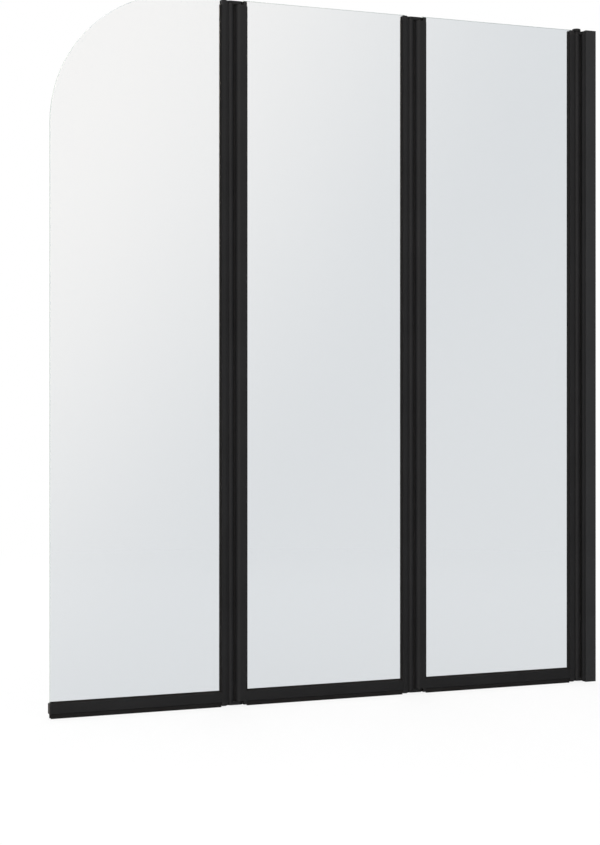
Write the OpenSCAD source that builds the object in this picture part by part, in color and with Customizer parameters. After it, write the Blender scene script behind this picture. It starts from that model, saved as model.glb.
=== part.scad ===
// Three-leaf folding bath screen with black aluminium profiles.
// The wall is the plane x = 0 and the screen runs from it towards -x.
// The screen's foot is the plane z = 0, its dry side faces -y and its wet side +y.
// All sizes are in millimetres.

/* [Screen] */
// Width from the wall to the free edge
screen_w = 1200; // [1000:10:1400]
// Height of the glass above the screen's foot
screen_h = 1400; // [1200:10:1600]
// Radius of the outer leaf's rounded upper corner
corner_r = 265; // [120:5:300]
// How much shorter the outer leaf is than the pitch of the hinges
outer_short = 28.5; // [10:0.5:60]
// Thickness of the toughened glass
glass_t = 5; // [4:0.5:6]

/* [Aluminium profiles] */
// Thickness of the stiles, front to back
profile_t = 18; // [17.5:0.5:24]
// Wall of the extrusions
wall_t = 1.5; // [1.2:0.1:1.8]
// Diameter of the round barrel along a leaf's wall side
barrel_d = 14; // [13:0.5:16]
// From the barrel's axis to the stile's edge at the glass
barrel_stile_w = 20; // [18.5:0.5:30]
// From the nose's axis to the stile's edge at the glass
nose_stile_w = 13.5; // [13:0.5:24]
// Thickness of the neck between barrel and glazing pocket
neck_t = 8; // [5:0.5:10]
// Length of the neck between barrel and glazing pocket
neck_l = 4; // [1:0.5:5]
// Rounding of the profiles' outer edges
edge_r = 1; // [0.5:0.1:1.4]

/* [Wall profile] */
// Depth of the wall channel
channel_d = 25; // [25:0.5:40]
// Length of the adjusting post that shows outside the channel
post_show = 7; // [7:0.5:16]
// Length of the adjusting post that sits inside the channel
post_in = 15; // [15:0.5:18]
// Travel of the post into the channel
adjust_in = 6; // [2:0.5:6]
// Travel of the post out of the channel
adjust_out = 6; // [2:0.5:6]
// Gap between the post and the channel's walls
slide_gap = 0.3; // [0.25:0.05:0.5]
// Number of holes for wall screws
wall_holes = 4; // [3:1:6]
// Diameter of the holes for wall screws
wall_hole_d = 5.5; // [4:0.5:6.5]
// From the channel's ends to the first wall hole
wall_hole_margin = 100; // [50:10:200]

/* [Hinges] */
// Gap between two leaves when they are folded flat
fold_gap = 1; // [0.8:0.1:2]
// Diameter of the steel pivot pins
pin_d = 5; // [4:0.5:5]
// Radial clearance of a pin in its bush
run_gap = 0.05; // [0.02:0.01:0.1]
// Wall of the bushes
bush_t = 1.5; // [1:0.1:1.5]
// Length of a bush's sleeve
bush_l = 22; // [14:1:40]
// Thickness of the link plates
link_t = 6; // [5:0.5:10]
// Width of the link plates
link_w = 12; // [10:0.5:12]
// Height of the cover over the upper wall pivot
cover_h = 5.5; // [4.5:0.5:10]
// Diameter of the cover over the upper wall pivot
cover_d = 18; // [14:0.5:20]

/* [Bottom rail] */
// Thickness of the bottom rails, front to back
rail_t = 16; // [15.5:0.5:18]
// Height of the bottom rails
rail_h = 20; // [20:0.5:40]
// Height of the rails above the screen's foot
rail_lift = 9; // [7:0.5:14]
// Depth of the glass in the rails
rail_bite = 9; // [7:0.5:9]

/* [Glazing and seals] */
// Thickness of the gasket on each side of the glass
gasket_t = 2.5; // [2:0.1:2.5]
// How far a gasket stands out of its profile
gasket_out = 3; // [1:0.5:5]
// Width of the vertical hinge seals' bulb
seal_w = 3; // [2:0.1:3.4]
// Gap left between a hinge seal and the barrel it seals
seal_gap = 0.6; // [0.4:0.1:1]

/* [Fixings] */
// Diameter of the countersunk screws' shank
screw_d = 3; // [2.5:0.1:3.5]
// Diameter of the countersunk screws' head
screw_head_d = 5.8; // [5:0.1:6.4]
// Diameter of the clamping screws in the wall channel
clamp_d = 4; // [3:0.5:5]
// Number of clamping screws
clamp_count = 3; // [2:1:5]
// From the channel's ends to the first clamping screw
clamp_margin = 200; // [120:10:260]

/* [Hidden] */

$fn = 48;
cut = 1;
seat_gap = 0.02;
key_fit = 0.1;
edge_gap = 0.5;

profile_c = [0.13, 0.13, 0.14];
seal_c = [0.05, 0.05, 0.05];
glass_c = [0.82, 0.87, 0.89, 0.35];
steel_c = [0.7, 0.7, 0.72];
bush_c = [0.1, 0.1, 0.1];

// Heights
foot_gap = 2.5;
base_z = foot_gap;
top_z = screen_h - foot_gap;
flange_t = 1;
thrust_gap = 0.2;
cap_t = 1.5;
end_h = link_t + thrust_gap + flange_t + cap_t;
ext_low = base_z + end_h;
ext_high = top_z - end_h;
rail_top = rail_lift + rail_h;
gasket_base = 1;
glass_low = rail_top - rail_bite;

// Sections
half_t = profile_t / 2;
inner_half_t = half_t - wall_t;
barrel_r = barrel_d / 2;
box_near = barrel_r + neck_l;
partition_t = 1.2;
bush_r = pin_d / 2 + run_gap + bush_t;
bore_r = bush_r + seat_gap;
boss_r = bore_r + wall_t;
nose_near = boss_r + 0.5;
mouth_w = glass_t + 2 * gasket_t;
nose_glass = nose_near + gasket_base;
barrel_glass = box_near + wall_t + gasket_base;
flange_r = barrel_r - 1;
nose_cap_near = link_w / 2 + edge_gap;

// Seals and their slots
seal_root_t = 0.95;
seal_root_w = 5;
seal_root_at = wall_t + 0.45;
keyway_d = 1.5;
keyway_w = 5.4;
post_seal_reach = barrel_to_face() - barrel_r - seal_gap;

// Hinge axes, counted from the wall
post_face = -(channel_d + post_show);
wall_axis = post_face - barrel_to_face();
pitch = (screen_w + wall_axis + outer_short) / 3;
link_c = profile_t + fold_gap;
hinge_seal_reach = link_c - half_t - barrel_r - seal_gap;
barrel_x = [for (i = [0:2]) wall_axis - i * pitch];
nose_x = [for (i = [0:1]) barrel_x[i + 1] + link_c];
free_x = -screen_w;
plug_t = 1.5;

// Pins, corner keys and screws
pin_head_r = pin_d / 2 + 1.5;
pin_head_h = 1.5;
pin_short = 3;
pin_l = end_h + bush_l - pin_short;
key_l = 25;
key_up = 4;
key_low = rail_lift + key_up;
key_t = 4.2;
screw_l = 8;
block_screw_r = 1.55;
block_head_r = 2.9;
block_head_h = 1.6;
block_screw_in = 12;
block_screw_l = link_t + block_screw_in;

// Bottom rail and its seal
stem_w = 5;
stem_gap = 0.2;
web_low = glass_low - gasket_base - wall_t;
drip_head_h = 2;
drip_body_h = 2;
drip_half_w = rail_t / 2 - wall_t;
drip_head_in = 1;
drip_lip_t = 2;
drip_lip_lean = 0.5;

// Wall channel and post
channel_in_t = profile_t + 2 * slide_gap;
channel_out_t = channel_in_t + 2 * wall_t;
post_end = -channel_d + post_in;
post_low = base_z + link_t;
post_high = top_z - link_t;
clamp_hole_r = clamp_d / 2 + 0.2;
slot_edge = 1.8;
clamp_x = post_end - slot_edge - clamp_hole_r - adjust_out;
slot_y = keyway_w / 2 + partition_t + edge_gap;
clamp_head_h = 2.4;
nut_t = 2.5;
nut_l = 9;
nut_gap = 0.2;
clamp_tip = 0.5;
plug_h = foot_gap - edge_gap;
tongue_t = 2;
tongue_h = 12;
port_r = 1.6;
port_in = 5;
port_y = -(inner_half_t - port_r - 0.6);
port_x = [post_face + port_in, post_end - port_in];
post_seal_in = 0.5;
cover_edge_r = 2;

function barrel_to_face() = profile_t / 2 + fold_gap;
function spread(n, margin) = [for (i = [0:n - 1]) margin + i * (screen_h - 2 * margin) / (n - 1)];

// A rectangle from x0 to x1, centred on the x axis, with rounded corners
module soft_box(x0, x1, t, r) {
    translate([x0 + r, -t / 2]) square([x1 - x0 - 2 * r, t]);
    translate([x0, -t / 2 + r]) square([x1 - x0, t - 2 * r]);
    for (x = [x0 + r, x1 - r], y = [-t / 2 + r, t / 2 - r]) translate([x, y]) circle(r);
}

// The same children at the foot of a stile and, mirrored, at its head
module both_ends() {
    translate([0, 0, base_z]) children();
    translate([0, 0, top_z]) mirror([0, 0, 1]) children();
}

// A profile drawn in y and z, pushed along x from x0 to x1
module along_x(x0, x1) {
    translate([x0, 0, 0]) rotate([90, 0, 90]) linear_extrude(x1 - x0) children();
}

// Glazing pocket open towards +x: from its back to its mouth, with inward lips
module pocket(back, mouth, t) {
    translate([back, -(t / 2 - wall_t)]) square([mouth - wall_t - back, t - 2 * wall_t]);
    translate([back, -mouth_w / 2]) square([mouth - back + cut, mouth_w]);
}

// Slot that holds a hinge seal, through a wall whose outer face is at x
module seal_slot(x) {
    translate([x - cut, -seal_w / 2]) square([wall_t + cut + edge_gap, seal_w]);
}

// Barrel stile, barrel at the origin and glass towards -x
module barrel_outline() {
    circle(barrel_r);
    translate([-box_near - wall_t / 2, -neck_t / 2]) square([box_near + wall_t / 2, neck_t]);
    soft_box(-barrel_stile_w, -box_near, profile_t, edge_r);
}

module barrel_section() {
    difference() {
        barrel_outline();
        circle(bore_r);
        translate([-box_near, -(neck_t / 2 - wall_t)]) square([neck_l, neck_t - 2 * wall_t]);
        mirror([1, 0]) pocket(box_near + wall_t, barrel_stile_w, profile_t);
    }
}

// Nose stile, nose at the origin and glass towards +x
module nose_outline() {
    circle(half_t);
    soft_box(-edge_r, nose_stile_w, profile_t, edge_r);
}

module nose_section() {
    difference() {
        nose_outline();
        difference() {
            union() {
                circle(inner_half_t);
                translate([0, -inner_half_t]) square([nose_near - partition_t, 2 * inner_half_t]);
            }
            circle(boss_r);
            translate([-partition_t / 2, -half_t]) square([partition_t, profile_t]);
        }
        circle(bore_r);
        pocket(nose_near, nose_stile_w, profile_t);
        seal_slot(-half_t);
    }
}

module barrel_stile(i) {
    color(profile_c) difference() {
        translate([barrel_x[i], 0, ext_low]) linear_extrude(ext_high - ext_low) barrel_section();
        translate([barrel_x[i] - stile_screw_x(), half_t, key_mid()]) csk_hole();
    }
}

module nose_stile(i) {
    color(profile_c) difference() {
        translate([nose_x[i], 0, ext_low]) linear_extrude(ext_high - ext_low) nose_section();
        translate([nose_x[i] + nose_screw_x(), half_t, key_mid()]) csk_hole();
    }
}

// Moulded cap on a stile's end: a plate over the section and a raised block round the glazing pocket
module cap_body() {
    translate([0, 0, end_h - cap_t]) linear_extrude(cap_t) children(0);
    linear_extrude(end_h - cap_t) children(1);
}

module glass_slot(x0, x1) {
    translate([x0, -glass_t / 2 - key_fit, -cut]) cube([x1 - x0, glass_t + 2 * key_fit, end_h + 2 * cut]);
}

module barrel_cap() {
    difference() {
        cap_body() {
            barrel_outline();
            union() {
                soft_box(-barrel_stile_w, -box_near, profile_t, edge_r);
                translate([-box_near - wall_t / 2, -neck_t / 2])
                    square([box_near + wall_t / 2 - nose_cap_near, neck_t]);
            }
        }
        cylinder(end_h + cut, r = bore_r);
    }
}

module nose_cap() {
    difference() {
        cap_body() {
            nose_outline();
            soft_box(nose_cap_near, nose_stile_w, profile_t, edge_r);
        }
        cylinder(end_h + cut, r = bore_r);
        translate([0, 0, -cut]) cylinder(end_h - cap_t + cut, r = nose_cap_near);
    }
}

module barrel_caps(i) {
    color(seal_c) {
        translate([barrel_x[i], 0, base_z]) barrel_cap();
        translate([barrel_x[i], 0, top_z]) mirror([0, 0, 1]) difference() {
            barrel_cap();
            glass_slot(-barrel_stile_w - cut, -barrel_glass + key_fit);
        }
    }
}

module nose_caps(i) {
    color(seal_c) {
        translate([nose_x[i], 0, base_z]) nose_cap();
        translate([nose_x[i], 0, top_z]) mirror([0, 0, 1]) difference() {
            nose_cap();
            glass_slot(nose_glass - key_fit, nose_stile_w + cut);
        }
    }
}

// Flanged bush pressed into a stile's bore
module bush() {
    translate([0, 0, link_t + thrust_gap]) difference() {
        union() {
            cylinder(flange_t, r = flange_r);
            cylinder(flange_t + cap_t + bush_l, r = bush_r);
        }
        translate([0, 0, -cut]) cylinder(flange_t + cap_t + bush_l + 2 * cut, r = pin_d / 2 + run_gap);
    }
}

module bushes(xs) {
    color(bush_c) for (x = xs) translate([x, 0, 0]) both_ends() bush();
}

// Pivot pin with a flat head let into its plate
module pin() {
    cylinder(pin_head_h, r = pin_head_r);
    cylinder(pin_l, r = pin_d / 2);
}

module pin_holes() {
    translate([0, 0, -cut]) cylinder(pin_head_h + seat_gap + cut, r = pin_head_r + seat_gap);
    translate([0, 0, -cut]) cylinder(link_t + 2 * cut, r = pin_d / 2 + seat_gap);
}

module pins(xs) {
    color(steel_c) for (x = xs) translate([x, 0, 0]) both_ends() pin();
}

// Link plate between the nose of one leaf and the barrel of the next
module link_plate() {
    difference() {
        linear_extrude(link_t) {
            for (x = [0, -link_c]) translate([x, 0]) circle(link_w / 2);
            translate([-link_c, -link_w / 2]) square([link_c, link_w]);
        }
        for (x = [0, -link_c]) translate([x, 0, 0]) pin_holes();
    }
}

module link_lower(i) {
    color(profile_c) translate([nose_x[i], 0, base_z]) link_plate();
}

module link_upper(i) {
    color(profile_c) translate([nose_x[i], 0, top_z]) mirror([0, 0, 1]) link_plate();
}

// Soft bulb seal in front of the wall that holds it, outer face of that wall at x = 0
module seal_bulb(reach) {
    intersection() {
        union() {
            translate([-reach + seal_w / 2, 0]) circle(seal_w / 2);
            translate([-reach + seal_w / 2, -seal_w / 2]) square([reach, seal_w]);
        }
        translate([-reach - cut, -seal_w]) square([reach + cut - key_fit, 2 * seal_w]);
    }
}

// The seal's root, held in a slot through that wall
module seal_root() {
    translate([-key_fit, -seal_w / 2]) square([key_fit + wall_t + edge_gap, seal_w]);
    translate([seal_root_at, -seal_root_w / 2]) square([seal_root_t, seal_root_w]);
}

// The bulb runs on past the nose's caps, up to the link plates
module hinge_seal(i) {
    bulb_low = base_z + link_t + edge_gap;
    color(seal_c) translate([nose_x[i] - half_t, 0, 0]) {
        translate([0, 0, bulb_low]) linear_extrude(screen_h - 2 * bulb_low) seal_bulb(hinge_seal_reach);
        translate([0, 0, ext_low]) linear_extrude(ext_high - ext_low) seal_root();
    }
}

// Glass panes
module pane(x0, x1) {
    color(glass_c) translate([x0, -glass_t / 2, glass_low]) cube([x1 - x0, glass_t, screen_h - glass_low]);
}

module leaf_glass(i) {
    pane(nose_x[i] + nose_glass, barrel_x[i] - barrel_glass);
}

module outer_glass() {
    x0 = free_x + plug_t;
    x1 = barrel_x[2] - barrel_glass;
    color(glass_c) translate([0, glass_t / 2, 0]) rotate([90, 0, 0]) linear_extrude(glass_t) {
        translate([x0, glass_low]) square([x1 - x0, screen_h - corner_r - glass_low]);
        translate([x0 + corner_r, glass_low]) square([x1 - x0 - corner_r, screen_h - glass_low]);
        intersection() {
            translate([x0 + corner_r, screen_h - corner_r]) circle(corner_r, $fn = 96);
            translate([x0, screen_h - corner_r - cut]) square([corner_r + cut, corner_r + 2 * cut]);
        }
    }
}

// Channel-shaped gasket round the glass edge at x = 0, glass towards +x, profile's mouth at x = m
module gasket_section(m) {
    lip = 0.7;
    polygon([
        [-gasket_base, -mouth_w / 2], [m, -mouth_w / 2], [m + gasket_out, -glass_t / 2 - lip],
        [m + gasket_out, -glass_t / 2], [0, -glass_t / 2], [0, glass_t / 2],
        [m + gasket_out, glass_t / 2], [m + gasket_out, glass_t / 2 + lip],
        [m, mouth_w / 2], [-gasket_base, mouth_w / 2]
    ]);
}

module barrel_gasket(i) {
    translate([barrel_x[i] - barrel_glass, 0, rail_top]) linear_extrude(ext_high - rail_top)
        mirror([1, 0]) gasket_section(barrel_stile_w - barrel_glass);
}

module nose_gasket(i) {
    translate([nose_x[i] + nose_glass, 0, rail_top]) linear_extrude(ext_high - rail_top)
        gasket_section(nose_stile_w - nose_glass);
}

module rail_gasket(x0, x1) {
    along_x(x0 + gasket_out, x1 - gasket_out) translate([0, glass_low]) rotate(90) gasket_section(rail_bite);
}

module leaf_gaskets(i) {
    color(seal_c) {
        barrel_gasket(i);
        nose_gasket(i);
        rail_gasket(nose_x[i] + nose_stile_w, barrel_x[i] - barrel_stile_w);
    }
}

module outer_gaskets() {
    color(seal_c) {
        barrel_gasket(2);
        rail_gasket(free_x + plug_t - gasket_out, barrel_x[2] - barrel_stile_w);
    }
}

// Bottom rail: glazing pocket above a web, seal chamber below it
module rail_outline() {
    translate([0, rail_lift]) rotate(90) soft_box(0, rail_h, rail_t, edge_r);
}

module rail_section() {
    chamber_low = rail_lift + wall_t;
    difference() {
        rail_outline();
        rotate(90) pocket(glass_low - gasket_base, rail_top, rail_t);
        translate([-(rail_t / 2 - wall_t), chamber_low]) square([rail_t - 2 * wall_t, web_low - chamber_low]);
        translate([-stem_w / 2 - stem_gap, rail_lift - cut]) square([stem_w + 2 * stem_gap, wall_t + 2 * cut]);
    }
}

module rail(x0, x1, screws) {
    color(profile_c) difference() {
        along_x(x0, x1) rail_section();
        for (x = screws) translate([x, rail_t / 2, key_mid()]) csk_hole();
    }
}

module leaf_rail(i) {
    rail(nose_x[i] + nose_stile_w, barrel_x[i] - barrel_stile_w, rail_screws(i));
}

module outer_rail() {
    rail(free_x + plug_t, barrel_x[2] - barrel_stile_w, rail_screws(2));
}

// Drip seal: a head in the rail's chamber, a stem and two splayed lips down to the screen's foot
module rail_seal_section() {
    head_z = rail_lift + wall_t + stem_gap;
    head_w = drip_half_w - drip_head_in;
    body_z = rail_lift - stem_gap;
    body_low = body_z - drip_body_h;
    lip_out = drip_half_w - 2 * drip_lip_lean;
    lip_in = lip_out - drip_lip_t + drip_lip_lean;
    half = [
        [0, head_z + drip_head_h], [head_w, head_z + drip_head_h], [head_w, head_z], [stem_w / 2, head_z],
        [stem_w / 2, body_z], [drip_half_w, body_z], [drip_half_w, body_low], [lip_out, 0],
        [lip_out - drip_lip_t, 0], [lip_in, body_low], [0, body_low]
    ];
    last = len(half) - 1;
    polygon(concat(half, [for (i = [last - 1:-1:1]) [-half[i][0], half[i][1]]]));
}

module rail_seal(x0, x1) {
    color(seal_c) along_x(x0 + edge_gap, x1 - edge_gap) rail_seal_section();
}

module leaf_rail_seal(i) {
    rail_seal(nose_x[i] + nose_stile_w, barrel_x[i] - barrel_stile_w);
}

module outer_rail_seal() {
    rail_seal(free_x + plug_t, barrel_x[2] - barrel_stile_w);
}

// Countersunk screws that enter along -y, head flush with y = 0
module csk(r_add, l_add) {
    rotate([90, 0, 0]) {
        cylinder(wall_t, r1 = screw_head_d / 2 + r_add, r2 = screw_d / 2 + r_add);
        cylinder(screw_l + l_add, r = screw_d / 2 + r_add);
    }
}

module csk_hole() {
    csk(seat_gap, edge_gap);
}

function key_mid() = key_low + key_t / 2;
function stile_screw_x() = (box_near + barrel_stile_w) / 2;
function nose_screw_x() = (boss_r + nose_stile_w) / 2;
function key_screws(i) = [
    [barrel_x[i] - stile_screw_x(), half_t], [barrel_x[i] - barrel_stile_w - key_l / 2, rail_t / 2]
];
function nose_key_screws(i) = [
    [nose_x[i] + nose_screw_x(), half_t], [nose_x[i] + nose_stile_w + key_l / 2, rail_t / 2]
];
function rail_screws(i) = concat([key_screws(i)[1][0]], i < 2 ? [nose_key_screws(i)[1][0]] : []);

// Corner key: a block in the foot of a stile and a tongue into the rail's chamber, rail towards +x
module corner_key(back, mouth, screws) {
    block_w = 2 * (inner_half_t - key_fit);
    block_low = ext_low + key_fit;
    block_high = glass_low - gasket_base - edge_gap;
    difference() {
        union() {
            translate([back + key_fit, -block_w / 2, block_low])
                cube([mouth - wall_t - back - 2 * key_fit, block_w, block_high - block_low]);
            translate([back + key_fit, -(mouth_w / 2 - key_fit), key_low])
                cube([mouth - back + key_l, mouth_w - 2 * key_fit, key_t]);
        }
        for (s = screws) translate([s[0], s[1], key_mid()]) csk_hole();
    }
}

module barrel_key(i) {
    translate([barrel_x[i], 0, 0]) mirror([1, 0, 0]) corner_key(
        box_near + wall_t, barrel_stile_w,
        [[stile_screw_x(), half_t], [barrel_stile_w + key_l / 2, rail_t / 2]]
    );
}

module nose_key(i) {
    translate([nose_x[i], 0, 0]) corner_key(
        nose_near, nose_stile_w,
        [[nose_screw_x(), half_t], [nose_stile_w + key_l / 2, rail_t / 2]]
    );
}

module leaf_corner_keys(i) {
    color(seal_c) {
        barrel_key(i);
        nose_key(i);
    }
}

module screws_at(list) {
    color(steel_c) for (s = list) translate([s[0], s[1], key_mid()]) csk(0, 0);
}

// Plug in the free end of the outer rail
module outer_rail_plug() {
    tongue_w = 2 * (drip_half_w - key_fit);
    color(seal_c) {
        along_x(free_x, free_x + plug_t) rail_outline();
        translate([free_x + plug_t / 2, -tongue_w / 2, key_low])
            cube([key_l, tongue_w, web_low - key_fit - key_low]);
    }
}

// Wall channel, open towards -x
module wall_channel() {
    color(profile_c) difference() {
        linear_extrude(screen_h) difference() {
            soft_box(-channel_d, 0, channel_out_t, 0.5);
            translate([-channel_d - cut, -channel_in_t / 2]) square([channel_d - wall_t + cut, channel_in_t]);
        }
        for (z = spread(wall_holes, wall_hole_margin)) translate([-wall_t - cut, 0, z]) rotate([0, 90, 0])
            cylinder(wall_t + 2 * cut, r = wall_hole_d / 2);
        for (z = spread(clamp_count, clamp_margin)) translate([clamp_x, 0, z]) rotate([-90, 0, 0])
            cylinder(channel_out_t, r = clamp_d / 2 + seat_gap);
    }
}

// Plugs that close the channel's two ends
module channel_plug() {
    translate([-channel_d, -channel_in_t / 2, 0]) cube([channel_d - wall_t, channel_in_t, plug_h]);
    translate([-wall_t - tongue_t, -channel_in_t / 2, 0]) cube([tongue_t, channel_in_t, tongue_h]);
}

module channel_plugs() {
    color(seal_c) {
        channel_plug();
        translate([0, 0, screen_h]) mirror([0, 0, 1]) channel_plug();
    }
}

// Clamping screws: pan head outside the channel, shank through the post's slot into a nut plate
module clamp_screws() {
    clamp_l = clamp_head_h + 2 * wall_t + slide_gap + nut_gap + nut_t + clamp_tip;
    color(steel_c) for (z = spread(clamp_count, clamp_margin))
        translate([clamp_x, channel_out_t / 2 + clamp_head_h, z]) rotate([90, 0, 0]) {
            cylinder(clamp_head_h, r = clamp_d);
            cylinder(clamp_l, r = clamp_d / 2);
        }
}

module clamp_nuts() {
    color(steel_c) for (z = spread(clamp_count, clamp_margin)) difference() {
        translate([clamp_x - nut_l / 2, inner_half_t - nut_gap - nut_t, z - nut_l / 2])
            cube([nut_l, nut_t, nut_l]);
        translate([clamp_x, 0, z]) rotate([-90, 0, 0]) cylinder(half_t, r = clamp_d / 2 + seat_gap);
    }
}

// Adjusting post: a box open towards the wall, with screw ports and, in its face, a keyway for the seal
module post_section() {
    difference() {
        soft_box(post_face, post_end, profile_t, edge_r);
        difference() {
            translate([post_face + wall_t, -inner_half_t])
                square([post_end - post_face - wall_t + cut, 2 * inner_half_t]);
            translate([post_face, -keyway_w / 2 - partition_t])
                square([wall_t + keyway_d + partition_t, keyway_w + 2 * partition_t]);
            for (x = port_x) {
                translate([x, port_y]) circle(port_r + partition_t);
                translate([x - partition_t, -half_t + wall_t / 2]) square([2 * partition_t, port_r]);
            }
        }
        for (x = port_x) translate([x, port_y]) circle(port_r);
        seal_slot(post_face);
        translate([post_face + wall_t, -keyway_w / 2]) square([keyway_d, keyway_w]);
    }
}

module hinge_post() {
    color(profile_c) difference() {
        translate([0, 0, post_low]) linear_extrude(post_high - post_low) post_section();
        for (z = spread(clamp_count, clamp_margin)) translate([clamp_x, slot_y, z]) {
            translate([-adjust_in, 0, 0]) rotate([-90, 0, 0]) cylinder(half_t, r = clamp_hole_r);
            translate([adjust_out, 0, 0]) rotate([-90, 0, 0]) cylinder(half_t, r = clamp_hole_r);
            translate([-adjust_in, 0, -clamp_hole_r]) cube([adjust_in + adjust_out, half_t, 2 * clamp_hole_r]);
        }
    }
}

module post_seal() {
    color(seal_c) translate([post_face, 0, post_low + post_seal_in])
        linear_extrude(post_high - post_low - 2 * post_seal_in) {
            seal_bulb(post_seal_reach);
            seal_root();
        }
}

// Pivot block on the post's end, reaching over the inner leaf's barrel
module pivot_block() {
    difference() {
        linear_extrude(link_t) {
            translate([wall_axis, 0]) circle(link_w / 2);
            translate([wall_axis, -link_w / 2]) square([barrel_to_face() + edge_r + cut, link_w]);
            soft_box(post_face, post_end, profile_t, edge_r);
        }
        translate([wall_axis, 0, 0]) pin_holes();
        for (x = port_x) translate([x, port_y, 0]) block_screw_hole();
    }
}

module block_screw(r_add) {
    cylinder(block_head_h, r1 = block_head_r + r_add, r2 = block_screw_r + r_add);
    cylinder(block_screw_l, r = block_screw_r + r_add);
}

module block_screw_hole() {
    translate([0, 0, -seat_gap]) cylinder(seat_gap, r = block_head_r + seat_gap);
    block_screw(seat_gap);
}

module pivot_screws() {
    color(steel_c) for (x = port_x) translate([x, port_y, 0]) both_ends() block_screw(0);
}

module lower_pivot() {
    color(profile_c) translate([0, 0, base_z]) pivot_block();
}

module upper_pivot() {
    color(profile_c) translate([0, 0, top_z]) mirror([0, 0, 1]) pivot_block();
}

// Domed cover over the upper wall pivot
module pivot_cover() {
    color(profile_c) translate([wall_axis, 0, top_z]) rotate_extrude() {
        square([link_w / 2, cover_h - cover_edge_r]);
        translate([0, edge_gap]) square([cover_d / 2, cover_h - cover_edge_r - edge_gap]);
        translate([0, edge_gap]) square([cover_d / 2 - cover_edge_r, cover_h - edge_gap]);
        intersection() {
            translate([cover_d / 2 - cover_edge_r, cover_h - cover_edge_r]) circle(cover_edge_r);
            square([cover_d, cover_h + cut]);
        }
    }
}

wall_channel();
channel_plugs();
clamp_screws();
clamp_nuts();
hinge_post();
upper_pivot();
lower_pivot();
pins([wall_axis]);  // wall_pins
pivot_cover();
post_seal();
pivot_screws();
leaf_glass(0);  // inner_glass
barrel_stile(0);  // inner_barrel_stile
nose_stile(0);  // inner_nose_stile
leaf_rail(0);  // inner_rail
leaf_rail_seal(0);  // inner_rail_seal
leaf_gaskets(0);  // inner_gaskets
leaf_corner_keys(0);  // inner_corner_keys
screws_at(concat(key_screws(0), nose_key_screws(0)));  // inner_key_screws
bushes([barrel_x[0], nose_x[0]]);  // inner_bushes
barrel_caps(0);  // inner_barrel_caps
nose_caps(0);  // inner_nose_caps
hinge_seal(0);  // inner_hinge_seal
link_upper(0);  // inner_link_upper
link_lower(0);  // inner_link_lower
pins([nose_x[0], barrel_x[1]]);  // inner_link_pins
leaf_glass(1);  // middle_glass
barrel_stile(1);  // middle_barrel_stile
nose_stile(1);  // middle_nose_stile
leaf_rail(1);  // middle_rail
leaf_rail_seal(1);  // middle_rail_seal
leaf_gaskets(1);  // middle_gaskets
leaf_corner_keys(1);  // middle_corner_keys
screws_at(concat(key_screws(1), nose_key_screws(1)));  // middle_key_screws
bushes([barrel_x[1], nose_x[1]]);  // middle_bushes
barrel_caps(1);  // middle_barrel_caps
nose_caps(1);  // middle_nose_caps
hinge_seal(1);  // middle_hinge_seal
link_upper(1);  // outer_link_upper
link_lower(1);  // outer_link_lower
pins([nose_x[1], barrel_x[2]]);  // outer_link_pins
outer_glass();
barrel_stile(2);  // outer_barrel_stile
outer_rail();
outer_rail_seal();
outer_gaskets();
color(seal_c) barrel_key(2);  // outer_corner_key
screws_at(key_screws(2));  // outer_key_screws
bushes([barrel_x[2]]);  // outer_bushes
barrel_caps(2);  // outer_barrel_caps
outer_rail_plug();
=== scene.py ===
import math

import bmesh
import bpy
from mathutils import Matrix, Vector


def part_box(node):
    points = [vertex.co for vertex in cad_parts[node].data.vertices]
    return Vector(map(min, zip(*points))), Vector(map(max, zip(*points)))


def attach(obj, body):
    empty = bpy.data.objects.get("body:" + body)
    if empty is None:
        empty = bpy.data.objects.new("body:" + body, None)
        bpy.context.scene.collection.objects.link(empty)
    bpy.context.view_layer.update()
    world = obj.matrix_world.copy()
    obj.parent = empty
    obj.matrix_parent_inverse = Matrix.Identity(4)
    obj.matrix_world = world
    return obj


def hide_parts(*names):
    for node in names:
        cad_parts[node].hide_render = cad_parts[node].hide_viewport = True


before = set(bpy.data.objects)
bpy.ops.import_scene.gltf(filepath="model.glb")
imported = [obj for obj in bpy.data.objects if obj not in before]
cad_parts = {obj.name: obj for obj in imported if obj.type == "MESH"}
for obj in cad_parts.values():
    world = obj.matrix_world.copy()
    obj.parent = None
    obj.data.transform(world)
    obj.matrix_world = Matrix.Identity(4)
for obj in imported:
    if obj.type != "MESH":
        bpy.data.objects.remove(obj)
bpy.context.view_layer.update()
scene = bpy.context.scene
scene.view_settings.view_transform = "Standard"
mm = 0.001

# Camera: level, 3.3 m in front of the screen and turned 22 degrees towards its wall side, as for the
# photograph. The small shift puts the horizon where the photograph has it.
camera_at = (-2.037, -3.318, 0.619)
level = math.radians(90)
turn_to_wall = math.radians(22.19)
sensor_w, focal_length = 36, 75.8
horizon_shift = -0.034

camera_data = bpy.data.cameras.new("camera")
camera_data.sensor_width = sensor_w
camera_data.lens = focal_length
camera_data.shift_y = horizon_shift
camera = bpy.data.objects.new("camera", camera_data)
camera.location = camera_at
camera.rotation_euler = (level, 0, -turn_to_wall)
scene.collection.objects.link(camera)
scene.camera = camera


# Studio light: an even white surround. What the glass and the profiles mirror is a darker one with a soft
# bright patch, high on the left in front of the screen and much weaker behind it.
def fresh_nodes(owner):
    owner.use_nodes = True
    owner.node_tree.nodes.clear()
    return owner.node_tree.nodes, owner.node_tree.links


def maths(nodes, links, operation, first, second=None):
    node = nodes.new("ShaderNodeMath")
    node.operation = operation
    for socket, value in zip(node.inputs, (first, second)):
        if value is None:
            continue
        if isinstance(value, (int, float)):
            socket.default_value = value
        else:
            links.new(value, socket)
    return node.outputs[0]


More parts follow.
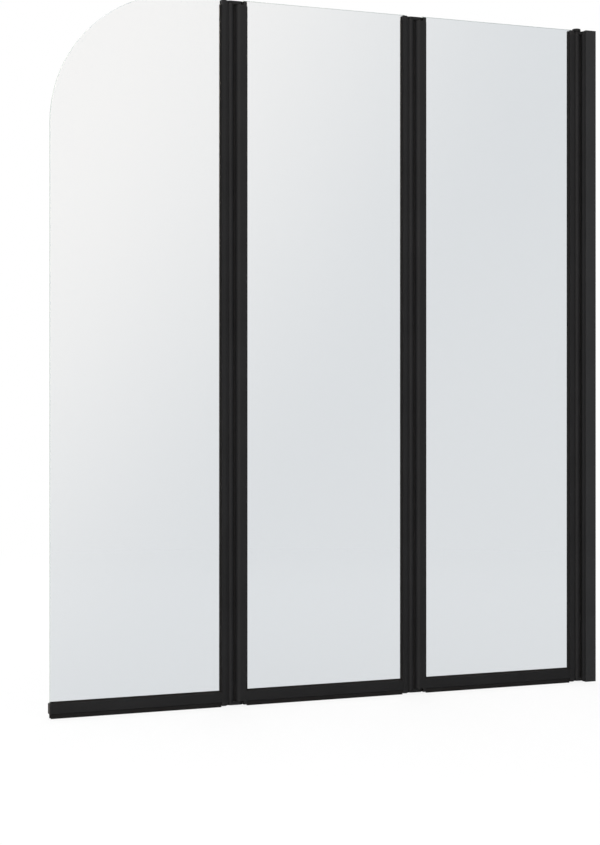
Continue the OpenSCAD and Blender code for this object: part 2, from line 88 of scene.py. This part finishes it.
def blended(nodes, links, factor, low, high):
    """Low where the factor is 0 and high where it is 1; each is a colour or another node's output."""
    mix = nodes.new("ShaderNodeMix")
    mix.data_type = "RGBA"
    links.new(factor, mix.inputs[0])
    for socket, value in ((mix.inputs[6], low), (mix.inputs[7], high)):
        if isinstance(value, tuple):
            socket.default_value = value
        else:
            links.new(value, socket)
    return mix.outputs[2]


def smooth_range(nodes, links, value, start, end):
    """A soft step from 0 where the value is start to 1 where it is end."""
    ramp = nodes.new("ShaderNodeMapRange")
    ramp.interpolation_type = "SMOOTHSTEP"
    ramp.inputs["From Min"].default_value = start
    ramp.inputs["From Max"].default_value = end
    links.new(value, ramp.inputs["Value"])
    return ramp


def seen_straight(nodes, links, ray):
    """1 for what is seen directly or through the glass, 0 for light and mirror images."""
    direct, through = ray.outputs["Is Camera Ray"], ray.outputs["Is Transmission Ray"]
    return maths(nodes, links, "MAXIMUM", direct, through)


surround_light = (0.8, 0.8, 0.8, 1)
surround_seen = (1, 1, 1, 1)
mirror_dark = (0.35, 0.35, 0.35, 1)
mirror_patch = (5.3, 4.6, 3.9, 1)
patch_way = Vector((-0.364, -0.807, 0.465))
patch_edge, patch_core = math.radians(54.7), math.radians(40.1)
patch_behind = 0.12

world = bpy.data.worlds.new("studio")
scene.world = world
nodes, links = fresh_nodes(world)
way = nodes.new("ShaderNodeTexCoord")
parts = nodes.new("ShaderNodeSeparateXYZ")
links.new(way.outputs["Generated"], parts.inputs[0])
depth_way = maths(nodes, links, "ABSOLUTE", parts.outputs["Y"])
depth_way = maths(nodes, links, "MULTIPLY", depth_way, -1.0)
folded = nodes.new("ShaderNodeCombineXYZ")
links.new(parts.outputs["X"], folded.inputs["X"])
links.new(depth_way, folded.inputs["Y"])
links.new(parts.outputs["Z"], folded.inputs["Z"])
along = nodes.new("ShaderNodeVectorMath")
along.operation = "DOT_PRODUCT"
along.inputs[1].default_value = patch_way
links.new(folded.outputs[0], along.inputs[0])
angle = maths(nodes, links, "ARCCOSINE", along.outputs["Value"])
patch = smooth_range(nodes, links, angle, patch_edge, patch_core)
ray = nodes.new("ShaderNodeLightPath")
seen = seen_straight(nodes, links, ray)
side_share = maths(nodes, links, "LESS_THAN", parts.outputs["Y"], 0.0)
side_share = maths(nodes, links, "MULTIPLY", side_share, 1.0 - patch_behind)
side_share = maths(nodes, links, "ADD", side_share, patch_behind)
bright = maths(nodes, links, "MULTIPLY", patch.outputs[0], side_share)
mirrored = blended(nodes, links, bright, mirror_dark, mirror_patch)
unseen = blended(nodes, links, ray.outputs["Is Glossy Ray"], surround_light, mirrored)
background = nodes.new("ShaderNodeBackground")
links.new(blended(nodes, links, seen, unseen, surround_seen), background.inputs["Color"])
world_out = nodes.new("ShaderNodeOutputWorld")
links.new(background.outputs[0], world_out.inputs["Surface"])

# Studio floor: white, just under the drip seals. It takes a faint shadow around the screen's foot, which
# fades out into plain white further away.
floor_half, floor_z = 30.0, -0.2 * mm
floor_tone = 0.8
shadow_share = 0.18
shadow_centre = (-0.6, 0, 0)
shadow_from, shadow_to = 1.0, 3.5

floor_data = bpy.data.meshes.new("floor")
floor_corners = [(x * floor_half, y * floor_half, floor_z) for x, y in ((-1, -1), (1, -1), (1, 1), (-1, 1))]
floor_data.from_pydata(floor_corners, [], [(0, 1, 2, 3)])
floor = bpy.data.objects.new("floor", floor_data)
scene.collection.objects.link(floor)
floor.visible_glossy = False
floor_paint = bpy.data.materials.new("floor_white")
nodes, links = fresh_nodes(floor_paint)
diffuse = nodes.new("ShaderNodeBsdfDiffuse")
glow = nodes.new("ShaderNodeEmission")
seen = seen_straight(nodes, links, nodes.new("ShaderNodeLightPath"))
place = nodes.new("ShaderNodeTexCoord").outputs["Object"]
offset = nodes.new("ShaderNodeVectorMath")
offset.operation = "DISTANCE"
offset.inputs[1].default_value = shadow_centre
links.new(place, offset.inputs[0])
shadowed = smooth_range(nodes, links, offset.outputs["Value"], shadow_from, shadow_to)
shadowed.inputs["To Min"].default_value = shadow_share
shadowed.inputs["To Max"].default_value = 0.0
own_glow = maths(nodes, links, "SUBTRACT", 1.0, shadowed.outputs[0])
links.new(maths(nodes, links, "MULTIPLY", seen, own_glow), glow.inputs["Strength"])
drop = maths(nodes, links, "SUBTRACT", floor_tone, shadowed.outputs[0])
drop = maths(nodes, links, "MULTIPLY", seen, drop)
links.new(maths(nodes, links, "SUBTRACT", floor_tone, drop), diffuse.inputs["Color"])
both = nodes.new("ShaderNodeAddShader")
links.new(diffuse.outputs[0], both.inputs[0])
links.new(glow.outputs[0], both.inputs[1])
floor_out = nodes.new("ShaderNodeOutputMaterial")
links.new(both.outputs[0], floor_out.inputs["Surface"])
floor_data.materials.append(floor_paint)

# Studio lamps: two large soft squares that face the screen's middle, the stronger one in front on the left
# and the weaker one behind it. Neither shows in a reflection.
screen_middle = Vector((-0.6, 0.0, 0.75))
lamp_side = 2.4


def soft_lamp(name, place, power):
    data = bpy.data.lights.new(name, "AREA")
    data.shape = "SQUARE"
    data.size = lamp_side
    data.energy = power
    lamp = bpy.data.objects.new(name, data)
    lamp.location = place
    lamp.rotation_euler = (screen_middle - Vector(place)).to_track_quat("-Z", "Y").to_euler()
    lamp.visible_glossy = False
    lamp.visible_camera = False
    lamp.visible_transmission = False
    scene.collection.objects.link(lamp)


soft_lamp("key_lamp", place=(-2.8, -3.2, 3.0), power=70)
soft_lamp("back_lamp", place=(0.6, 3.4, 2.6), power=40)


# Wall channel: an aluminium extrusion screwed to the wall, blasted, pretreated and powder coated matt
# black. The coat is a fine orange-peel skin about 0.08 mm thick. Its colour here is painted light: a shade
# lighter than the same coat on the other profiles, for the extra light the channel catches.
def finish_of(name):
    material = bpy.data.materials.new(name)
    nodes, links = fresh_nodes(material)
    shader = nodes.new("ShaderNodeBsdfPrincipled")
    out = nodes.new("ShaderNodeOutputMaterial")
    links.new(shader.outputs[0], out.inputs["Surface"])
    place = nodes.new("ShaderNodeTexCoord").outputs["Object"]
    return material, nodes, links, shader, place


def grain(nodes, links, place, per_metre, detail=2.0, stretch=(1, 1, 1)):
    mapping = nodes.new("ShaderNodeMapping")
    mapping.inputs["Scale"].default_value = stretch
    links.new(place, mapping.inputs["Vector"])
    noise = nodes.new("ShaderNodeTexNoise")
    noise.inputs["Scale"].default_value = per_metre
    noise.inputs["Detail"].default_value = detail
    links.new(mapping.outputs[0], noise.inputs["Vector"])
    return noise.outputs["Fac"]


grain_low, grain_high = 0.3, 0.7


def between(nodes, links, factor, low, high):
    """Spreads a grain, which seldom leaves its middle range, over low to high."""
    ramp = nodes.new("ShaderNodeMapRange")
    ramp.inputs["From Min"].default_value = grain_low
    ramp.inputs["From Max"].default_value = grain_high
    ramp.inputs["To Min"].default_value = low
    ramp.inputs["To Max"].default_value = high
    links.new(factor, ramp.inputs["Value"])
    return ramp.outputs[0]


def tones(nodes, links, factor, dark, light):
    return blended(nodes, links, between(nodes, links, factor, 0, 1), (*dark, 1), (*light, 1))


def relief(nodes, links, height, shader, strength, depth):
    bump = nodes.new("ShaderNodeBump")
    bump.inputs["Strength"].default_value = strength
    bump.inputs["Distance"].default_value = depth
    links.new(height, bump.inputs["Height"])
    links.new(bump.outputs[0], shader.inputs["Normal"])


cool_gloss = (0.76, 0.87, 1.0, 1)
coat_gloss = 0.08
coat_rough = (0.44, 0.60)
coat_clouds, coat_cloud_detail, peel_detail = 9, 4, 3
peel_strength, peel_depth = 0.6, 0.12 * mm


def powder_coat(name, dark, light, peel_per_metre):
    material, nodes, links, shader, place = finish_of(name)
    cloud = grain(nodes, links, place, coat_clouds, coat_cloud_detail)
    peel = grain(nodes, links, place, peel_per_metre, peel_detail)
    links.new(tones(nodes, links, cloud, dark, light), shader.inputs["Base Color"])
    links.new(between(nodes, links, peel, *coat_rough), shader.inputs["Roughness"])
    shader.inputs["Specular IOR Level"].default_value = coat_gloss
    shader.inputs["Specular Tint"].default_value = cool_gloss
    relief(nodes, links, peel, shader, peel_strength, peel_depth)
    return material


def finish_nodes(material, *names):
    for name in names:
        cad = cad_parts[name]
        cad.data.materials.clear()
        cad.data.materials.append(material)


extrusion_peel = 1500
# Painted light: the channel's coat colour is lighter than the same coat on the other profiles, standing in
# for the extra light that falls on the wall channel.
lit_painted_channel_coat = powder_coat(
    "powder_coat_painted_lighter_on_channel", dark=(0.0222, 0.0226, 0.0236), light=(0.0270, 0.0274, 0.0286),
    peel_per_metre=extrusion_peel)
finish_nodes(lit_painted_channel_coat, "wall_channel")

# Channel end plugs: moulded black polyamide, pressed into the channel's two ends. The mould is spark
# eroded, which leaves an even fine matt grain.
moulded_gloss = 0.11
moulded_clouds, moulded_cloud_detail, spark_detail = 40, 3, 2
spark_strength, spark_depth = 0.5, 0.08 * mm


def moulded(name, dark, light, rough, per_metre):
    material, nodes, links, shader, place = finish_of(name)
    spark = grain(nodes, links, place, per_metre, spark_detail)
    cloud = grain(nodes, links, place, moulded_clouds, moulded_cloud_detail)
    links.new(tones(nodes, links, cloud, dark, light), shader.inputs["Base Color"])
    links.new(between(nodes, links, spark, *rough), shader.inputs["Roughness"])
    shader.inputs["Specular IOR Level"].default_value = moulded_gloss
    shader.inputs["Specular Tint"].default_value = cool_gloss
    relief(nodes, links, spark, shader, spark_strength, spark_depth)
    return material


moulded_black = moulded(
    "moulded_polyamide_black", dark=(0.0100, 0.0100, 0.0107), light=(0.0140, 0.0140, 0.0148),
    rough=(0.45, 0.57), per_metre=2200)
finish_nodes(moulded_black, "channel_plugs")

# Clamping screws and nut plates: M4 stainless pan heads with a cross recess on the wet side, and square
# plates inside the post. They are turned and pressed, with fine rings left by the tool.
turned_rough = (0.26, 0.40)
rings_per_metre, rings_detail, rings_stretch = 2600, 2, (1, 1, 4)
rings_strength, rings_depth = 0.15, 0.04 * mm


def turned_steel(name, dark, light):
    material, nodes, links, shader, place = finish_of(name)
    rings = grain(nodes, links, place, rings_per_metre, rings_detail, rings_stretch)
    links.new(tones(nodes, links, rings, dark, light), shader.inputs["Base Color"])
    links.new(between(nodes, links, rings, *turned_rough), shader.inputs["Roughness"])
    shader.inputs["Metallic"].default_value = 1.0
    relief(nodes, links, rings, shader, rings_strength, rings_depth)
    return material


def object_from(mesh_maker, name):
    mesh = bpy.data.meshes.new(name)
    mesh_maker.to_mesh(mesh)
    mesh_maker.free()
    made = bpy.data.objects.new(name, mesh)
    scene.collection.objects.link(made)
    return made


def turned(profile, sides=32):
    """Rings of (radius, height) points round the z axis, closed with a point at each end."""
    bm = bmesh.new()
    rings = []
    for radius, height in profile:
        if radius == 0:
            rings.append([bm.verts.new((0, 0, height))])
        else:
            rings.append([bm.verts.new((radius * math.cos(t), radius * math.sin(t), height))
                          for t in (2 * math.pi * k / sides for k in range(sides))])
    for low, high in zip(rings, rings[1:]):
        for k in range(sides):
            n = (k + 1) % sides
            ring_faces = [low[k % len(low)], low[n % len(low)], high[n % len(high)], high[k % len(high)]]
            bm.faces.new(list(dict.fromkeys(ring_faces)))
    bmesh.ops.recalc_face_normals(bm, faces=bm.faces)
    return bm


recess_start = 0.4 * mm
recess_foot_reach, recess_foot_width = 0.55, 0.8
speck = 0.002 * mm


def recess_bar(reach, width, depth):
    """One bar of the cross, from above the head down to its narrower foot."""
    bm = bmesh.new()
    top = [(-reach, -width), (reach, -width), (reach, width), (-reach, width)]
    foot = [(x * recess_foot_reach, y * recess_foot_width) for x, y in top]
    verts = [bm.verts.new((x, y, recess_start)) for x, y in top]
    verts += [bm.verts.new((x, y, -depth)) for x, y in foot]
    bm.faces.new(verts[:4])
    bm.faces.new(verts[7:3:-1])
    for k in range(4):
        n = (k + 1) % 4
        bm.faces.new((verts[n], verts[k], verts[4 + k], verts[4 + n]))
    bmesh.ops.recalc_face_normals(bm, faces=bm.faces)
    return bm


def crossed(screw, reach, width, depth):
    """Cuts a cross recess into the top of a screw that ends at z = 0."""
    for turn in (0, 90):
        bm = recess_bar(reach, width, depth)
        bmesh.ops.rotate(bm, verts=bm.verts, matrix=Matrix.Rotation(math.radians(turn), 3, "Z"))
        cutter = object_from(bm, "cutter")
        cut = screw.modifiers.new("recess", "BOOLEAN")
        cut.object = cutter
        cut.operation = "DIFFERENCE"
        cut.solver = "EXACT"
        done = bpy.data.meshes.new_from_object(screw.evaluated_get(bpy.context.evaluated_depsgraph_get()))
        screw.modifiers.clear()
        screw.data = done
        bpy.data.objects.remove(cutter)
    bm = bmesh.new()
    bm.from_mesh(screw.data)
    bmesh.ops.dissolve_degenerate(bm, edges=bm.edges, dist=speck)
    bm.to_mesh(screw.data)
    bm.free()


crisp_from = math.radians(35)


def fitted(made, material, body, slot, *replaced):
    """Smooths a piece but for its sharp edges, and puts it on its body in place of the plain solids."""
    made.data.materials.append(material)
    for face in made.data.polygons:
        face.use_smooth = True
    made.data.set_sharp_from_angle(angle=crisp_from)
    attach(made, body)
    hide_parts(*replaced)


def placed_copies(name, pattern, frames, material, body, slot, *replaced):
    bm = bmesh.new()
    for place in frames:
        part = pattern.data.copy()
        part.transform(place)
        bm.from_mesh(part)
    fitted(object_from(bm, name), material, body, slot, *replaced)


same_point = 0.001 * mm


def solid_boxes(node):
    """The lowest and highest corner of each separate solid of a node, from its mesh."""
    bm = bmesh.new()
    bm.from_mesh(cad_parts[node].data)
    bmesh.ops.remove_doubles(bm, verts=bm.verts, dist=same_point)
    left, found = set(bm.verts), []
    while left:
        island, edge = set(), [left.pop()]
        while edge:
            vert = edge.pop()
            island.add(vert)
            for link in vert.link_edges:
                other = link.other_vert(vert)
                if other in left:
                    left.discard(other)
                    edge.append(other)
        low = [min(v.co[k] for v in island) for k in range(3)]
        high = [max(v.co[k] for v in island) for k in range(3)]
        found.append((low, high))
    bm.free()
    return sorted(found)


def heads_on_wet_side(boxes):
    """Turns screws with their heads towards +y, each in the middle of its own solid."""
    turn = Matrix.Rotation(math.radians(-90), 4, "X")
    return [Matrix.Translation(((low[0] + high[0]) / 2, high[1], (low[2] + high[2]) / 2)) @ turn
            for low, high in boxes]


stainless = turned_steel("stainless_turned", dark=(0.54, 0.54, 0.55), light=(0.61, 0.61, 0.62))
finish_nodes(stainless, "clamp_nuts")
pan_r, pan_h, clamp_r, clamp_tip = 4 * mm, 2.4 * mm, 2 * mm, 0.6 * mm
clamp_boxes = solid_boxes("clamp_screws")
clamp_l = clamp_boxes[0][1][1] - clamp_boxes[0][0][1]
pan_screw = object_from(turned([
    (0, 0), (0.45 * pan_r, -0.08 * mm), (0.78 * pan_r, -0.45 * mm), (0.94 * pan_r, -1.1 * mm),
    (pan_r, -1.9 * mm), (pan_r, -pan_h), (clamp_r, -pan_h), (clamp_r, -clamp_l + clamp_tip),
    (0.7 * clamp_r, -clamp_l), (0, -clamp_l)]), "pan_screw")
crossed(pan_screw, reach=2.1 * mm, width=0.42 * mm, depth=1.5 * mm)
placed_copies("clamp_pan_screws", pan_screw, heads_on_wet_side(clamp_boxes),
              stainless, "wall_profile", "steel", "clamp_screws")
bpy.data.objects.remove(pan_screw)

# Adjusting post: the extrusion that slides in the wall channel, in the same coat as the leaves' profiles.
# That coat is a shade darker than the channel's only because the channel's colour is painted lighter for the
# light it catches. Its pivot blocks and the cover over the upper pivot are zinc castings under a black coat,
# and its two pivot pins are stainless.
coat_black = powder_coat(
    "powder_coat_matt_black", dark=(0.0108, 0.0110, 0.0116), light=(0.0142, 0.0144, 0.0153),
    peel_per_metre=extrusion_peel)
finish_nodes(coat_black, "hinge_post")
coat_casting = powder_coat(
    "powder_coat_on_casting", dark=(0.0102, 0.0104, 0.0110), light=(0.0138, 0.0140, 0.0147),
    peel_per_metre=1100)
finish_nodes(coat_casting, "upper_pivot", "lower_pivot", "pivot_cover")
finish_nodes(stainless, "wall_pins")

# Block screws: countersunk self-tapping screws into the post's two ports, one pair at each end, heads
# flush with the pivot block and a cross recess for the driver.
rim_ease, rim_h = 0.15 * mm, 0.12 * mm


def countersunk(name, head_r, cone_h, shank_r, length, tip_r, tip_h):
    """A screw with its flat head at z = 0 and its point down."""
    return object_from(turned([
        (0, 0), (head_r - rim_ease, 0), (head_r, -rim_h), (shank_r, -cone_h),
        (shank_r, -length + tip_h), (tip_r, -length), (0, -length)]), name)


post_low, post_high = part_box("hinge_post")
post_middle = (post_low[2] + post_high[2]) / 2


def on_pivot_block(low, high):
    """Head up on the upper block and head down on the lower one."""
    upper = high[2] > post_middle
    seat = ((low[0] + high[0]) / 2, (low[1] + high[1]) / 2, high[2] if upper else low[2])
    return Matrix.Translation(seat) @ Matrix.Rotation(0 if upper else math.pi, 4, "X")


block_boxes = solid_boxes("pivot_screws")
block_screw = countersunk(
    "block_screw", head_r=2.9 * mm, cone_h=1.6 * mm, shank_r=1.55 * mm,
    length=block_boxes[0][1][2] - block_boxes[0][0][2], tip_r=0.3 * mm, tip_h=2 * mm)
crossed(block_screw, reach=1.7 * mm, width=0.32 * mm, depth=1.3 * mm)
placed_copies("pivot_block_screws", block_screw, [on_pivot_block(low, high) for low, high in block_boxes],
              stainless, "post", "steel", "pivot_screws")
bpy.data.objects.remove(block_screw)

# Upright seals: extruded black rubber with a round bulb that wipes the next barrel, slid by its root into
# the post's keyway and into the nose of the inner and middle leaf.
rubber_gloss = 0.08
rubber_rough = (0.62, 0.78)
die_lines, die_line_detail = 1600, 2
bloom_clouds, bloom_detail = 25, 3
die_strength, die_depth = 0.2, 0.05 * mm


def drawn_rubber(name, dark, light, stretch):
    material, nodes, links, shader, place = finish_of(name)
    lines = grain(nodes, links, place, die_lines, die_line_detail, stretch)
    bloom = grain(nodes, links, place, bloom_clouds, bloom_detail)
    links.new(tones(nodes, links, bloom, dark, light), shader.inputs["Base Color"])
    links.new(between(nodes, links, lines, *rubber_rough), shader.inputs["Roughness"])
    shader.inputs["Specular IOR Level"].default_value = rubber_gloss
    relief(nodes, links, lines, shader, die_strength, die_depth)
    return material


def extruded(outline, start, end, to_frame):
    """A closed outline of (x, y) points pushed from start to end along z, then moved into place."""
    bm = bmesh.new()
    low = [bm.verts.new((x, y, start)) for x, y in outline]
    high = [bm.verts.new((x, y, end)) for x, y in outline]
    for k in range(len(outline)):
        n = (k + 1) % len(outline)
        bm.faces.new((low[k], low[n], high[n], high[k]))
    bm.faces.new(low[::-1])
    bm.faces.new(high)
    bmesh.ops.transform(bm, matrix=to_frame, verts=bm.verts)
    bmesh.ops.recalc_face_normals(bm, faces=bm.faces)
    bm.normal_update()
    bmesh.ops.triangulate(bm, faces=[f for f in bm.faces if len(f.verts) > 4], ngon_method="EAR_CLIP")
    return bm


def joined(name, parts, material, body, slot, *replaced):
    bm = bmesh.new()
    for part in parts:
        mesh = bpy.data.meshes.new("part")
        part.to_mesh(mesh)
        part.free()
        bm.from_mesh(mesh)
        bpy.data.meshes.remove(mesh)
    fitted(object_from(bm, name), material, body, slot, *replaced)


def arc(centre, radius, start, end, steps):
    turns = [math.radians(start + (end - start) * k / steps) for k in range(steps + 1)]
    return [(centre[0] + radius * math.cos(t), centre[1] + radius * math.sin(t)) for t in turns]


def mirrored_section(side):
    """A closed outline that is the same on both sides of y = 0, from the points of one side."""
    return side + [(x, -y) for x, y in reversed(side)]


upright_lines = (1, 1, 0.03)
upright_rubber = drawn_rubber(
    "seal_rubber_upright", dark=(0.009, 0.009, 0.0095), light=(0.0125, 0.0125, 0.013),
    stretch=upright_lines)
bulb_r, bulb_out, bulb_foot_half = 1.5 * mm, 0.5 * mm, 1.2 * mm
bulb_open, bulb_steps = 60, 20
slot_depth, face_gap = 2.9 * mm, 0.1 * mm
root_t, root_half, root_ease = 0.95 * mm, 2.5 * mm, 0.2 * mm
stem_half, stem_flare = 1.0 * mm, 1.0 * mm
for node, body, name, carrier in (
        ("post_seal", "post", "post_bulb_seal", "post_seal"),
        ("inner_hinge_seal", "inner_leaf", "inner_bulb_seal", "inner_nose_stile"),
        ("middle_hinge_seal", "middle_leaf", "middle_bulb_seal", "middle_nose_stile")):
    low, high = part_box(node)
    root_low, root_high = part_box(carrier)[0][2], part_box(carrier)[1][2]
    reach = high[0] - low[0]
    root = reach - root_t
    face = reach - slot_depth - face_gap
    bulb = arc((bulb_r - bulb_out, 0), bulb_r, bulb_open, 360 - bulb_open, bulb_steps)
    bulb += [(face, -bulb_foot_half), (face, bulb_foot_half)]
    stem = mirrored_section([
        (face, -stem_half), (root - stem_flare, -bulb_r), (root, -bulb_r), (root, -root_half),
        (reach - root_ease, -root_half), (reach, -root_half + root_ease)])
    to_frame = Matrix.Translation((low[0], 0, 0))
    joined(name, [extruded(bulb, low[2], high[2], to_frame), extruded(stem, root_low, root_high, to_frame)],
           upright_rubber, body, "seal_rubber", node)

# Glass panes: 5 mm clear float glass, cut, arrised and polished along its edges, then toughened. The outer
# pane's upper corner is ground to a large radius. The ground edges are pale, a little green.
glass_ior = 1.5
lamp_light_through = (0.86, 0.88, 0.89, 1)
tint_drifts, tint_detail = 1.3, 1


def clear_glass(name, low_tint, high_tint, rough, clear):
    material, nodes, links, shader, place = finish_of(name)
    drift = grain(nodes, links, place, tint_drifts, tint_detail)
    links.new(tones(nodes, links, drift, low_tint, high_tint), shader.inputs["Base Color"])
    shader.inputs["Roughness"].default_value = rough
    shader.inputs["IOR"].default_value = glass_ior
    shader.inputs["Transmission Weight"].default_value = clear
    ray = nodes.new("ShaderNodeLightPath")
    lamps_through = nodes.new("ShaderNodeBsdfTransparent")
    lamps_through.inputs["Color"].default_value = lamp_light_through
    choice = nodes.new("ShaderNodeMixShader")
    links.new(ray.outputs["Is Shadow Ray"], choice.inputs[0])
    links.new(shader.outputs[0], choice.inputs[1])
    links.new(lamps_through.outputs[0], choice.inputs[2])
    out = next(n for n in nodes if n.type == "OUTPUT_MATERIAL")
    links.new(choice.outputs[0], out.inputs["Surface"])
    return material


pane_face = clear_glass(
    "toughened_glass", low_tint=(0.722, 0.748, 0.771), high_tint=(0.730, 0.756, 0.778), rough=0.0, clear=1.0)
pane_edge = clear_glass(
    "polished_glass_edge", low_tint=(0.72, 0.82, 0.79), high_tint=(0.76, 0.85, 0.82), rough=0.2, clear=0.35)
arris = 0.6 * mm
outer_corner_r, corner_steps = 265 * mm, 48
same_depth, facing_out = 0.0001 * mm, 0.99


def pane(name, node, body, corner_r=0.0):
    low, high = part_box(node)
    x0, x1, z0, z1 = low[0], high[0], low[2], high[2]
    outline = [(x0, z0), (x1, z0), (x1, z1)]
    if corner_r:
        outline += arc((x0 + corner_r, z1 - corner_r), corner_r, 90, 180, corner_steps)
    else:
        outline.append((x0, z1))
    bm = bmesh.new()
    face = bm.faces.new([bm.verts.new((x, low[1], z)) for x, z in outline])
    grown = bmesh.ops.extrude_face_region(bm, geom=[face])
    bmesh.ops.translate(bm, vec=(0, high[1] - low[1], 0),
                        verts=[v for v in grown["geom"] if isinstance(v, bmesh.types.BMVert)])
    bmesh.ops.recalc_face_normals(bm, faces=bm.faces)
    rims = [e for e in bm.edges if abs(e.verts[0].co.y - e.verts[1].co.y) < same_depth]
    bmesh.ops.bevel(bm, geom=rims, offset=arris, segments=1, profile=0.5, affect="EDGES")
    for f in bm.faces:
        f.material_index = 0 if abs(f.normal.y) > facing_out else 1
    made = object_from(bm, name)
    made.data.materials.append(pane_face)
    made.data.materials.append(pane_edge)
    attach(made, body)
    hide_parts(node)


pane("inner_pane", "inner_glass", "inner_leaf")
pane("middle_pane", "middle_glass", "middle_leaf")
pane("outer_pane", "outer_glass", "outer_leaf", outer_corner_r)

# Stiles and bottom rails: hollow aluminium extrusions sawn to length and powder coated. Each leaf has a
# round barrel towards the wall and a rail below the glass, and the inner and middle leaf a nose at their
# other edge.
leaves = (("inner", "inner_leaf"), ("middle", "middle_leaf"), ("outer", "outer_leaf"))
for leaf, body in leaves:
    finish_nodes(coat_black, leaf + "_barrel_stile", leaf + "_rail")
    if leaf != "outer":
        finish_nodes(coat_black, leaf + "_nose_stile")

# Glazing gaskets: a black rubber channel pushed over the pane's edge before the profiles are closed on it.
# Its two lips show as a thin dark line between profile and glass.
gasket_rubber = drawn_rubber(
    "gasket_rubber_upright", dark=(0.008, 0.008, 0.0085), light=(0.011, 0.011, 0.0115),
    stretch=upright_lines)
pane_half, seat_half, seat_back = 2.5 * mm, 5.0 * mm, 1 * mm
lip_out = 3.0 * mm
lip_curve = [(0.5, 4.9), (1.3, 4.25), (2.1, 3.55), (2.8, 3.12), (3.0, 2.85)]
lip_tip_ease = 0.1 * mm


def gasket_outline(mouth):
    """The pane's edge is at x = 0, and the lips curve out of the profile's mouth."""
    lip = [(mouth + out * mm, half * mm) for out, half in lip_curve]
    return mirrored_section(
        [(-seat_back, seat_half), (mouth, seat_half)] + lip
        + [(mouth + lip_out - lip_tip_ease, pane_half), (0, pane_half)])


def upright(edge_x, facing):
    """Puts an outline's x towards -x or +x from the glass edge, and its length along z."""
    turn = Matrix.Identity(4) if facing > 0 else Matrix.Rotation(math.pi, 4, "Z")
    return Matrix.Translation((edge_x, 0, 0)) @ turn


def lying(edge_z):
    """Puts an outline's x along z, from the glass edge upwards, and its length along x."""
    swap_x_and_z = Matrix(((0, 0, 1, 0), (0, 1, 0, 0), (1, 0, 0, 0), (0, 0, 0, 1)))
    return Matrix.Translation((0, 0, edge_z)) @ swap_x_and_z


for leaf, body in leaves:
    glass_low, glass_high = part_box(leaf + "_glass")
    stile_low, stile_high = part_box(leaf + "_barrel_stile")
    rail_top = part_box(leaf + "_rail")[1][2]
    stile_top = stile_high[2]
    barrel_outline = gasket_outline(glass_high[0] - stile_low[0])
    strips = [extruded(barrel_outline, rail_top, stile_top, upright(glass_high[0], -1))]
    if leaf == "outer":
        rail_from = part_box("outer_gaskets")[0][0]
    else:
        nose_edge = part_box(leaf + "_nose_stile")[1][0]
        nose_outline = gasket_outline(nose_edge - glass_low[0])
        strips.append(extruded(nose_outline, rail_top, stile_top, upright(glass_low[0], 1)))
        rail_from = nose_edge + lip_out
    rail_outline = gasket_outline(rail_top - glass_low[2])
    strips.append(extruded(rail_outline, rail_from, stile_low[0] - lip_out, lying(glass_low[2])))
    joined(leaf + "_glazing_gaskets", strips, gasket_rubber, body, "seal_rubber", leaf + "_gaskets")

# Corner keys and their screws: moulded keys in the foot of each stile reach into the rail, and stainless
# countersunk screws hold them from the wet side.
finish_nodes(moulded_black, "inner_corner_keys", "middle_corner_keys", "outer_corner_key")
key_screw = countersunk(
    "key_screw", head_r=2.9 * mm, cone_h=1.5 * mm, shank_r=1.5 * mm, length=8 * mm, tip_r=0.4 * mm,
    tip_h=1.5 * mm)
crossed(key_screw, reach=1.9 * mm, width=0.36 * mm, depth=1.4 * mm)
for leaf, body in leaves:
    key_seats = heads_on_wet_side(solid_boxes(leaf + "_key_screws"))
    placed_copies(leaf + "_countersunk_screws", key_screw, key_seats,
                  stainless, body, "steel", leaf + "_key_screws")
bpy.data.objects.remove(key_screw)

# Stile caps and rail plug: moulded black polyamide, pressed into the ends of the extrusions. The caps
# leave room around the pivots for the link plates to turn.
for leaf, body in leaves:
    finish_nodes(moulded_black, leaf + "_barrel_caps")
    if leaf != "outer":
        finish_nodes(moulded_black, leaf + "_nose_caps")
finish_nodes(moulded_black, "outer_rail_plug")

# Bushes: flanged sleeves of black acetal, pressed into the bores at both ends of each barrel and nose. The
# pins of the links and of the wall pivots turn in them.
acetal = moulded(
    "acetal_black", dark=(0.014, 0.014, 0.014), light=(0.019, 0.019, 0.019), rough=(0.33, 0.45),
    per_metre=1400)
finish_nodes(acetal, "inner_bushes", "middle_bushes", "outer_bushes")

# Links: a cast plate above and below joins the nose of one leaf to the barrel of the next by two stainless
# pins each, so that the leaves fold flat to either side.
for link in ("inner_link", "outer_link"):
    finish_nodes(coat_casting, link + "_upper", link + "_lower")
    finish_nodes(stainless, link + "_pins")

# Drip seals: soft black rubber, clipped into the underside of each rail by the head above its stem. Two
# splayed fins reach down to the foot of the screen and keep the water in.
level_lines = (0.03, 1, 1)
rail_rubber = drawn_rubber(
    "seal_rubber_level", dark=(0.008, 0.008, 0.0085), light=(0.012, 0.012, 0.0125),
    stretch=level_lines)
fin = [(5.2, 12.7), (5.5, 12.4), (5.5, 10.7), (2.5, 10.7), (2.5, 8.8), (6.2, 8.8), (6.5, 8.5),
       (6.5, 6.9), (6.35, 5.2), (6.0, 2.6), (5.75, 0.25), (5.4, 0), (4.4, 0), (4.15, 0.25),
       (4.6, 2.6), (4.75, 5.2), (4.3, 6.5), (3.5, 6.8)]
drip_outline = mirrored_section([(up * mm, out * mm) for out, up in fin])
for leaf, body in leaves:
    low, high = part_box(leaf + "_rail_seal")
    joined(leaf + "_drip_seal", [extruded(drip_outline, low[0], high[0], lying(0))],
           rail_rubber, body, "seal_rubber", leaf + "_rail_seal")
